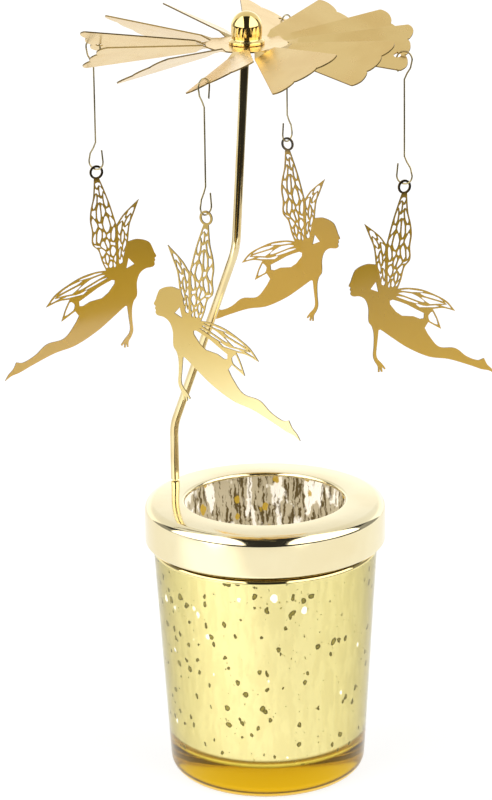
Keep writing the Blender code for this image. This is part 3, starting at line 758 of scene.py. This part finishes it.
def make_silvering():
    """The mercury coat on the well: a thin shell whose two sides show different wear."""
    top = CUP_HEIGHT - SILVER_TOP
    rim = cup_outer_radius(top) - CUP_WALL
    floor = cup_outer_radius(CUP_FLOOR) - CUP_WALL
    bm = turned((
        (0.0, CUP_FLOOR - SILVER_BITE, 0.0),
        (floor + SILVER_BITE, CUP_FLOOR - SILVER_BITE, CUP_WELL_ROUND),
        (rim + SILVER_BITE, top, 0.0),
        (rim - SILVER_COAT, top, 0.0),
        (floor - SILVER_COAT, CUP_FLOOR + SILVER_COAT, CUP_WELL_ROUND),
        (0.0, CUP_FLOOR + SILVER_COAT, 0.0),
    ))
    for face in bm.faces:
        middle = face.calc_center_median()
        outward = Vector((middle.x, middle.y, 0.0)).normalized()
        if outward.dot(face.normal) < face.normal.z:
            face.material_index = 1
    set_piece("silvered_well", to_mesh(bm), (silvering(), well_silvering()), "cup", "mercury_glass")


def make_cap(gold):
    """The spun ring: a lip round the mouth, a soft crown, a round shoulder and a rolled hem."""
    edge = -CAP_FALL * CAP_SHOULDER
    mouth = CAP_CROWN + CAP_FALL * CAP_LIP_ROUND
    lip = CAP_CROWN - CAP_LIP_DEPTH
    inner = CAP_RADIUS - CAP_SHEET
    hem = CAP_RADIUS - CAP_HEM_ROUND
    bm = turned((
        (CAP_MOUTH_RADIUS, lip, CAP_LIP_EDGE),
        (CAP_MOUTH_RADIUS, mouth, CAP_LIP_ROUND),
        (CAP_RADIUS, edge, CAP_SHOULDER),
        (CAP_RADIUS, -CAP_DEPTH, CAP_HEM_ROUND),
        (hem, -CAP_DEPTH, CAP_HEM_EDGE),
        (hem, CAP_SHEET - CAP_DEPTH, CAP_HEM_EDGE),
        (inner, CAP_SHEET - CAP_DEPTH, CAP_HEM_ROUND - CAP_SHEET),
        (inner, edge - CAP_SHEET, CAP_SHOULDER - CAP_SHEET),
        (CAP_MOUTH_RADIUS + CAP_SHEET, mouth - CAP_SHEET, CAP_LIP_ROUND - CAP_SHEET),
        (CAP_MOUTH_RADIUS + CAP_SHEET, lip, CAP_LIP_EDGE),
    ), ring=True)
    bmesh.ops.translate(bm, verts=bm.verts[:], vec=(0.0, 0.0, CAP_TOP))
    set_piece("gold_cap", to_mesh(bm), (gold,), "cap", "polished_gold", "rim_cap")


def make_post(gold):
    """One rod: a tenon in the cap, two bends, and a needle point inside the dome."""
    rise = Vector(UPRIGHT)
    foot = POST_FOOT_RADIUS * heading(POST_FOOT_TURN)
    foot.z = CAP_TOP + CAP_FALL * POST_FOOT_INSET
    upper = UPPER_BEND + CAP_TOP * rise
    tip = Vector((FAN_X, 0.0, FAN_Z + BEARING_SEAT_TOP - SEAT_GAP))
    needle_root = tip + (upper - tip).normalized() * NEEDLE_LENGTH
    seat = foot + rise * FIT_GAP
    lower = seat + rise * LOWER_BEND_RISE
    tenon_share = TENON_RADIUS / POST_RADIUS
    points = [(foot - rise * CAP_SHEET, tenon_share), (seat, tenon_share), (seat + rise * FIT_GAP, 1.0)]
    points += [(p, 1.0) for p in rounded_corner(seat, lower, upper, LOWER_BEND_ROUND)]
    points += [(p, 1.0) for p in rounded_corner(lower, upper, tip, UPPER_BEND_ROUND)]
    points += [(needle_root, 1.0), (tip, NEEDLE_TIP_RADIUS / POST_RADIUS)]
    mesh = wire_mesh(points, POST_RADIUS, POST_RESOLUTION)
    set_piece("gold_post", mesh, (gold,), "cap", "polished_gold", "bent_post")


def make_dome(gold):
    """The turned dome, its flange on the fan, its clinched rim below and the conical seat inside."""
    flange_bottom = FAN_SHEET / 2 + FIT_GAP
    flange_top = flange_bottom + DOME_FLANGE
    clinch_bottom = -flange_bottom - DOME_CLINCH
    bm = turned((
        (0.0, DOME_HEIGHT, 0.0),
        (DOME_RADIUS, DOME_HEIGHT, DOME_RADIUS),
        (DOME_RADIUS, DOME_HEIGHT - DOME_BELLY_DROP, DOME_BELLY_ROUND),
        (DOME_WAIST_RADIUS, flange_top + DOME_FLANGE, DOME_WAIST_ROUND),
        (DOME_FLANGE_RADIUS, flange_top, DOME_FLANGE_ROUND),
        (DOME_FLANGE_RADIUS, flange_bottom, 0.0),
        (DOME_SPIGOT_RADIUS, flange_bottom, 0.0),
        (DOME_SPIGOT_RADIUS, -flange_bottom, 0.0),
        (DOME_CLINCH_RADIUS, -flange_bottom, DOME_CLINCH_EDGE),
        (DOME_CLINCH_RADIUS, clinch_bottom, DOME_CLINCH_ROUND),
        (BEARING_BORE_RADIUS, clinch_bottom, DOME_CLINCH_ROUND),
        (BEARING_BORE_RADIUS, BEARING_BORE_TOP, 0.0),
        (0.0, BEARING_SEAT_TOP, 0.0),
    ))
    bmesh.ops.translate(bm, verts=bm.verts[:], vec=FAN_HUB)
    set_piece("gold_dome", to_mesh(bm), (gold,), "fan", "polished_gold", "pivot_dome")


def petal_half_width(radius):
    return radius * math.tan((PETAL_STEP - PETAL_SLIT) / 2)


def petal_edge(across):
    """Distance of a petal's scalloped tip from the hub, at a place across the flat petal."""
    phase = SCALLOPS * (across / petal_half_width(FAN_RADIUS) + 1.0) / 2
    corner = max(0.0, 1.0 - (petal_half_width(FAN_RADIUS) - abs(across)) / PETAL_CORNER)
    drop = PETAL_CORNER_DROP * (1.0 - math.sqrt(1.0 - min(1.0, corner) ** 2))
    return FAN_RADIUS - drop - SCALLOP_DEPTH * (1.0 - abs(math.sin(math.pi * phase)) ** LOBE_FULLNESS)


def petal_point(petal, along, across, pitch=PETAL_PITCH):
    """A place on a pitched petal, from the hub: its counter-clockwise side is the raised one."""
    turn = FAN_TURN + petal * PETAL_STEP
    point = heading(turn) * along + heading(turn + math.pi / 2) * (across * math.cos(pitch))
    point.z = across * math.sin(pitch)
    return point


def hook_petal(name):
    """The petal that carries a hook, clockwise from the one on the right."""
    return -NAMES.index(name) * PETALS // len(NAMES)


def hook_hole(name):
    """The hole for a hook, behind the notch on the lower side of the petal that carries it."""
    across = petal_half_width(FAN_RADIUS) * (2 / SCALLOPS - 1.0)
    return petal_point(hook_petal(name), petal_edge(across) - HOOK_HOLE_INSET, across)


def twisted(name, twist):
    return FAN_TURN + hook_petal(name) * PETAL_STEP + math.radians(twist[name])


def nearest_petal(point):
    """The petal that a place on the blank belongs to, and how far round from its middle it lies."""
    turn = (math.atan2(point.y, point.x) - FAN_TURN) / PETAL_STEP
    return round(turn), turn - round(turn)


def grow_blank(bm, edges, along):
    """Extrude edges of the flat blank to a distance along their petals, and return the new edges."""
    grown = bmesh.ops.extrude_edge_only(bm, edges=edges)["geom"]
    new = {item for item in grown if isinstance(item, bmesh.types.BMVert)}
    for vert in new:
        petal, turn = nearest_petal(vert.co)
        vert.co = petal_point(petal, along, round(2 * turn) * petal_half_width(along), 0.0)
    return [item for item in grown if isinstance(item, bmesh.types.BMEdge) and set(item.verts) <= new]


def fan_blank():
    """A flat blank grown outward from the hub, then pitched petal by petal."""
    bm = bmesh.new()
    bmesh.ops.create_circle(
        bm, cap_ends=False, radius=FAN_HOLE_RADIUS, segments=HUB_SIDES * PETALS,
        matrix=Matrix.Rotation(FAN_TURN, 4, "Z"),
    )
    disc = bmesh.ops.extrude_edge_only(bm, edges=bm.edges[:])["geom"]
    disc_rim = {item for item in disc if isinstance(item, bmesh.types.BMVert)}
    for vert in disc_rim:
        vert.co *= FAN_DISC_RADIUS / FAN_HOLE_RADIUS
    rim_edges = [edge for edge in bm.edges if set(edge.verts) <= disc_rim]
    middles = {edge: edge.verts[0].co + edge.verts[1].co for edge in rim_edges}
    necks = [edge for edge in rim_edges if abs(nearest_petal(middles[edge])[1]) < 1 / HUB_SIDES]
    roots = grow_blank(bm, necks, FAN_NECK_RADIUS)
    tips = grow_blank(bm, roots, FAN_RADIUS)
    bmesh.ops.subdivide_edges(bm, edges=tips, cuts=LOBE_STEPS * SCALLOPS - 1)
    for vert in bm.verts:
        petal, _ = nearest_petal(vert.co)
        along = vert.co.dot(heading(FAN_TURN + petal * PETAL_STEP))
        across = vert.co.dot(heading(FAN_TURN + petal * PETAL_STEP + math.pi / 2))
        if along > (FAN_NECK_RADIUS + FAN_RADIUS) / 2:
            along = petal_edge(across)
            half = petal_half_width(along)
            across = max(-half, min(half, across))
        if along > (FAN_DISC_RADIUS + FAN_NECK_RADIUS) / 2:
            vert.co = petal_point(petal, along, across)
    bmesh.ops.recalc_face_normals(bm, faces=bm.faces[:])
    return to_mesh(bm)


def make_fan(gold, edge):
    """The stamped fan: its blank thickened, pierced for the hooks and softened at the edges."""
    blank = fan_blank()
    blank.materials.append(gold)
    blank.materials.append(edge)
    bm = bmesh.new()
    for name in NAMES:
        bmesh.ops.create_cone(
            bm, cap_ends=True, segments=HOLE_SIDES, depth=HOLE_DEPTH, radius1=HOOK_HOLE_RADIUS,
            radius2=HOOK_HOLE_RADIUS, matrix=Matrix.Translation(hook_hole(name)),
        )
    punch = bpy.data.objects.new("punch", to_mesh(bm))
    bpy.context.scene.collection.objects.link(punch)
    rounding = {
        "width": FAN_EDGE_ROUND, "segments": 2, "limit_method": "ANGLE", "angle_limit": FAN_EDGE_ANGLE,
    }
    mesh = drawn_mesh(
        blank,
        ("SOLIDIFY", {"thickness": FAN_SHEET, "offset": 0.0, "material_offset_rim": 1}),
        ("BOOLEAN", {"operation": "DIFFERENCE", "solver": "EXACT", "object": punch}),
        ("BEVEL", rounding),
    )
    bpy.data.objects.remove(punch)
    mesh.transform(Matrix.Translation(FAN_HUB))
    set_piece("petal_fan", mesh, (gold, edge), "fan", "mirror_sheet", "fan_wheel", crease=PETAL_CREASE)


def hook_loop(turn_way):
    """One end of a hook as side and rise from its loop's centre, from the shank to the free end."""
    loop = [(side * LOOP_RADIUS, rise * LOOP_NECK) for side, rise in NECK_SHAPE]
    loop += arc((0.0, 0.0), LOOP_RADIUS, LOOP_START, LOOP_END, LOOP_STEPS)
    loop.append((TAIL_SIDE * LOOP_RADIUS, LOOP_TAIL))
    return [(side, turn_way * rise) for side, rise in loop]


def hook_centre(name):
    """Where a hook hangs: its heading and its upper loop's centre."""
    out = heading(twisted(name, HOOK_TWIST))
    centre = FAN_HUB + hook_hole(name) + out * math.sqrt(LOOP_RADIUS**2 - HOOK_SINK**2)
    centre.z -= HOOK_SINK
    return out, centre


def make_hook(name, steel):
    """A double-ended wire hook, from a petal's hole down to a fairy's eye."""
    out, centre = hook_centre(name)
    upper = hook_loop(-1)
    lower = [(side, rise - HOOK_SPAN) for side, rise in hook_loop(1)]
    points = [(centre + out * side + Vector((0.0, 0.0, rise)), 1.0) for side, rise in upper[::-1] + lower]
    mesh = wire_mesh(points, WIRE_RADIUS, WIRE_RESOLUTION)
    set_piece(f"wire_hook_{name}", mesh, (steel,), f"{name}_hook", "hook_wire", f"hook_{name}")


def smooth_line(drawn):
    """A line through drawn points, rounded except at its ends and at the marked corners."""
    places = [Vector(point[:2]) for point in drawn]
    last = len(places) - 1
    sharp = [i in (0, last) or len(point) > 2 for i, point in enumerate(drawn)]
    line = places[:1]
    for i in range(last):
        a = places[i]
        b = places[i + 1]
        if sharp[i] and sharp[i + 1]:
            line.append(b)
            continue
        third = (b - a).length / 3
        leave = (b - a) if sharp[i] else (b - places[i - 1])
        arrive = (b - a) if sharp[i + 1] else (places[i + 2] - a)
        handles = (a + leave.normalized() * third, b - arrive.normalized() * third)
        line += interpolate_bezier(a, *handles, b, OUTLINE_STEPS + 1)[1:]
    return line


def along_line(points, share):
    """The point at a share of the length of a line."""
    lengths = [(b - a).length for a, b in zip(points, points[1:])]
    left = share * sum(lengths)
    for a, b, length in zip(points, points[1:], lengths):
        if left <= length:
            return a.lerp(b, left / length)
        left -= length
    return points[-1]


def row_line(rows, row, across):
    """Where the line below a row of cells runs, at a place across the wing: it waves between the rows."""
    if row == 0:
        return rows[0][0]
    if row == len(rows):
        return rows[-1][1]
    lower = rows[row - 1]
    upper = rows[row]
    wave = math.sin(math.tau * (ROW_WAVES_ACROSS * across + ROW_WAVE_STEP * row))
    return upper[0] + ROW_WAVE * min(lower[1] - lower[0], upper[1] - upper[0]) * wave


def column_line(row, column, count):
    """Where the vein before a cell runs across the wing, a little off its even place."""
    if column in (0, count):
        return column / count
    stray = math.sin(COLUMN_TURN * column + COLUMN_ROW_TURN * row)
    return (column + COLUMN_SHIFT * stray) / count


def wing_cells(first_edge, second_edge, rows, vein):
    """Long rounded cells between two edges of a wing, a vein apart, in uneven rows."""
    half_vein = vein / FAIRY_SCALE / 2
    first = smooth_line(first_edge)
    second = smooth_line(second_edge)
    cells = []
    for row, (start, end, count) in enumerate(rows):
        tip = half_vein * (end - start) / (along_line(first, end) - along_line(first, start)).length
        for column in range(count):
            left = column_line(row, column, count)
            right = column_line(row, column + 1, count)
            cell = []
            for way in (-1, 1):
                for share, half in CELL_SIDE if way > 0 else CELL_SIDE[1:-1][::-1]:
                    across = left + (0.5 + way * half) * (right - left)
                    foot = row_line(rows, row, across) + tip
                    head = row_line(rows, row + 1, across) - tip
                    a = along_line(first, foot + share * (head - foot))
                    b = along_line(second, foot + share * (head - foot))
                    rim = half_vein / (b - a).length
                    cell.append(a.lerp(b, rim + (across - way * 2 * half * rim) * (1 - 2 * rim)))
            cells.append(cell)
    return cells


def fairy_outline():
    """The silhouette, clockwise from the left of the eye's foot."""
    eye = EYE_RADIUS / FAIRY_SCALE
    foot = math.asin(FRONT_WING_RIGHT[-1][0] / eye)
    ring = arc((0.0, 0.0), eye, -math.pi / 2 - foot, -5 * math.pi / 2 + foot, EYE_STEPS)
    drawn = [(*point, CORNER) for point in ring]
    # Only the stretches of the wings' edges that lie on the outside
    drawn += FRONT_WING_RIGHT[-2:2:-1]
    drawn += REAR_WING_LEFT[4:]
    drawn += REAR_WING_RIGHT[-2:2:-1]
    drawn += HEAD + CHEST_AND_ARM + LEGS + LOWER_WING_EDGE
    drawn += FRONT_WING_LEFT[1:-1]
    return smooth_line(drawn + drawn[:1])[:-1]


def fairy_lines():
    """The outline, the eye's hole, the gaps and the wing cells."""
    eye_hole = arc((0.0, 0.0), EYE_HOLE_RADIUS / FAIRY_SCALE, 0.0, math.tau, EYE_STEPS)
    lines = [fairy_outline(), eye_hole[:-1], BACK_GAP, NECK_GAP]
    lines += wing_cells(FRONT_WING_LEFT, FRONT_WING_RIGHT, FRONT_WING_ROWS, VEIN)
    lines += wing_cells(REAR_WING_LEFT, REAR_WING_RIGHT, REAR_WING_ROWS, VEIN)
    lines += wing_cells(LOWER_WING_TOP, LOWER_WING_BOTTOM, LOWER_WING_ROWS, LOWER_VEIN)
    lines += wing_cells(SMALL_LOBE_TOP, SMALL_LOBE_BOTTOM, SMALL_LOBE_ROWS, LOWER_VEIN)
    return lines


def make_fairy(name, lines, brass, edge):
    """The flat figure, filled between its outline and its pierced cells, hung in its hook."""
    curve = bpy.data.curves.new("fairy", "CURVE")
    curve.dimensions = "2D"
    curve.fill_mode = "BOTH"
    curve.extrude = FAIRY_SHEET / 2
    curve.render_resolution_u = 0
    for line in lines:
        spline = curve.splines.new("POLY")
        spline.points.add(len(line) - 1)
        spline.use_cyclic_u = True
        for target, point in zip(spline.points, line):
            target.co = (point[0] * FAIRY_SCALE, point[1] * FAIRY_SCALE, 0.0, 1.0)
    mesh = closed(drawn_mesh(curve))
    for face in mesh.polygons:
        face.material_index = int(abs(face.normal.z) < FLAT_FACE)
    _, centre = hook_centre(name)
    hang = EYE_HOLE_RADIUS - WIRE_RADIUS - SEAT_GAP
    eye = centre - Vector((0.0, 0.0, HOOK_SPAN + LOOP_RADIUS + hang))
    upright = Matrix.Rotation(twisted(name, FAIRY_TWIST), 4, "Z") @ Matrix.Rotation(math.pi / 2, 4, "X")
    mesh.transform(Matrix.Translation(eye) @ upright)
    set_piece(f"fairy_{name}", mesh, (brass, edge), f"{name}_charm", "satin_gold", f"charm_{name}")


def make_floor():
    bm = bmesh.new()
    bmesh.ops.create_grid(bm, x_segments=1, y_segments=1, size=1.0)
    half_sides = ((FLOOR_RIGHT - FLOOR_LEFT) / 2, (FLOOR_BACK - FLOOR_FRONT) / 2, 1.0)
    middle = ((FLOOR_RIGHT + FLOOR_LEFT) / 2, (FLOOR_BACK + FLOOR_FRONT) / 2, -FLOOR_DROP)
    bmesh.ops.scale(bm, verts=bm.verts[:], vec=half_sides)
    bmesh.ops.translate(bm, verts=bm.verts[:], vec=middle)
    mesh = to_mesh(bm)
    mesh.materials.append(floor_finish())
    floor = bpy.data.objects.new("floor", mesh)
    bpy.context.scene.collection.objects.link(floor)


def light_studio():
    """Two tall soft boxes at the front, dark cloth between and above them, and a white wall behind."""
    world = bpy.data.worlds.new("Studio")
    bpy.context.scene.world = world
    light = Finish(world)
    way = light.node("ShaderNodeTexCoord", {}, {}, "Generated")
    x, y, z = (light.node("ShaderNodeSeparateXYZ", {}, {"Vector": way}, axis) for axis in "XYZ")
    between = light.fade(x, *BOX_LEFT_SIDE) * light.fade(x, *BOX_RIGHT_SIDE)
    boxes = light.fade(y, *BOX_BACK) * (1.0 - between) * light.fade(z, *BOX_FOOT)
    wall = light.fade(y + WALL_LEAN * z, *WALL_FOOT) * (1.0 - WALL_FALL * z)
    sides = light.fade(y, *SIDE_FRONT) * light.fade(z, *SIDE_TOP)
    bright = DARK_LIGHT + BOX_LIGHT * boxes + SIDE_LIGHT * sides + BACK_LIGHT * wall
    seen = light.node("ShaderNodeLightPath", {}, {}, "Is Camera Ray")
    strength = bright + seen * (1.0 - bright)
    shade = light.node("ShaderNodeBackground", {}, {"Color": (1.0, 1.0, 1.0, 1.0), "Strength": strength})
    light.node("ShaderNodeOutputWorld", {}, {"Surface": shade})


def set_camera():
    """The photograph's camera, placed so that the middle of the cap's mouth falls on its pixel."""
    forward = Vector((0.0, math.cos(PITCH), -math.sin(PITCH)))
    level = Vector((1.0, 0.0, 0.0))
    upright = level.cross(forward)
    right = math.cos(ROLL) * level - math.sin(ROLL) * upright
    up = math.sin(ROLL) * level + math.cos(ROLL) * upright
    across = (MOUTH_PIXEL[0] - FRAME[0] / 2) / FOCAL_PIXELS
    down = (MOUTH_PIXEL[1] - FRAME[1] / 2) / FOCAL_PIXELS
    ray = forward + right * across - up * down
    place = Vector((0.0, 0.0, MOUTH_HEIGHT)) - ray * (STAND_OFF / ray.y)
    data = bpy.data.cameras.new("camera")
    data.sensor_width = SENSOR
    data.lens = FOCAL_PIXELS * SENSOR / max(FRAME)
    camera = bpy.data.objects.new("camera", data)
    camera.matrix_world = Matrix((
        (right.x, up.x, -forward.x, place.x),
        (right.y, up.y, -forward.y, place.y),
        (right.z, up.z, -forward.z, place.z),
        (0.0, 0.0, 0.0, 1.0),
    ))
    bpy.context.scene.collection.objects.link(camera)
    bpy.context.scene.camera = camera


pale_gold = plated_metal(
    "Pale gold cap", (0.88, 0.79, 0.52), (0.84, 0.73, 0.45), 0.07, 45.0, 1800.0, 0.008 * MM,
)
warm_gold = plated_metal(
    "Warm gold dome", (0.86, 0.66, 0.27), (0.80, 0.58, 0.20), 0.04, 90.0, 2600.0, 0.006 * MM,
)
sheet_gold = plated_metal(
    "Gold fan sheet", (0.78, 0.57, 0.23), (0.73, 0.51, 0.19), 0.22, 70.0, 2000.0, 0.0012 * MM,
)
rod_gold = plated_metal(
    "Gold rod", (0.78, 0.66, 0.38), (0.68, 0.53, 0.26), 0.05, 90.0, 2600.0, 0.006 * MM,
)
hook_steel = plated_metal(
    "Hook wire", (0.44, 0.37, 0.20), (0.34, 0.27, 0.13), 0.2, 300.0, 6000.0, 0.01 * MM,
)
sheet_edge = cut_edge()
# Each fairy's two golds are a lighter or darker copy, as painted light and shade; the last two values share
# out the painted shade and the painted light
lit_and_shaded_fairy_golds = {
    "right": fairy_metal("right", (0.64, 0.37, 0.03), (0.68, 0.42, 0.045), 1.0, 0.0),
    "front": fairy_metal("front", (0.57, 0.385, 0.08), (0.62, 0.43, 0.11), 0.0, 0.9),
    "left": fairy_metal("left", (0.58, 0.335, 0.03), (0.64, 0.39, 0.045), 1.0, 0.0),
    "back": fairy_metal("back", (0.47, 0.27, 0.022), (0.51, 0.305, 0.03), 1.0, 0.0),
}

make_glass()
make_silvering()
make_cap(pale_gold)
make_post(rod_gold)
make_dome(warm_gold)
make_fan(sheet_gold, sheet_edge)
drawn_fairy = fairy_lines()
for place_name in NAMES:
    make_hook(place_name, hook_steel)
    make_fairy(place_name, drawn_fairy, lit_and_shaded_fairy_golds[place_name], sheet_edge)
make_floor()
light_studio()
set_camera()
bpy.context.scene.view_settings.view_transform = "Standard"
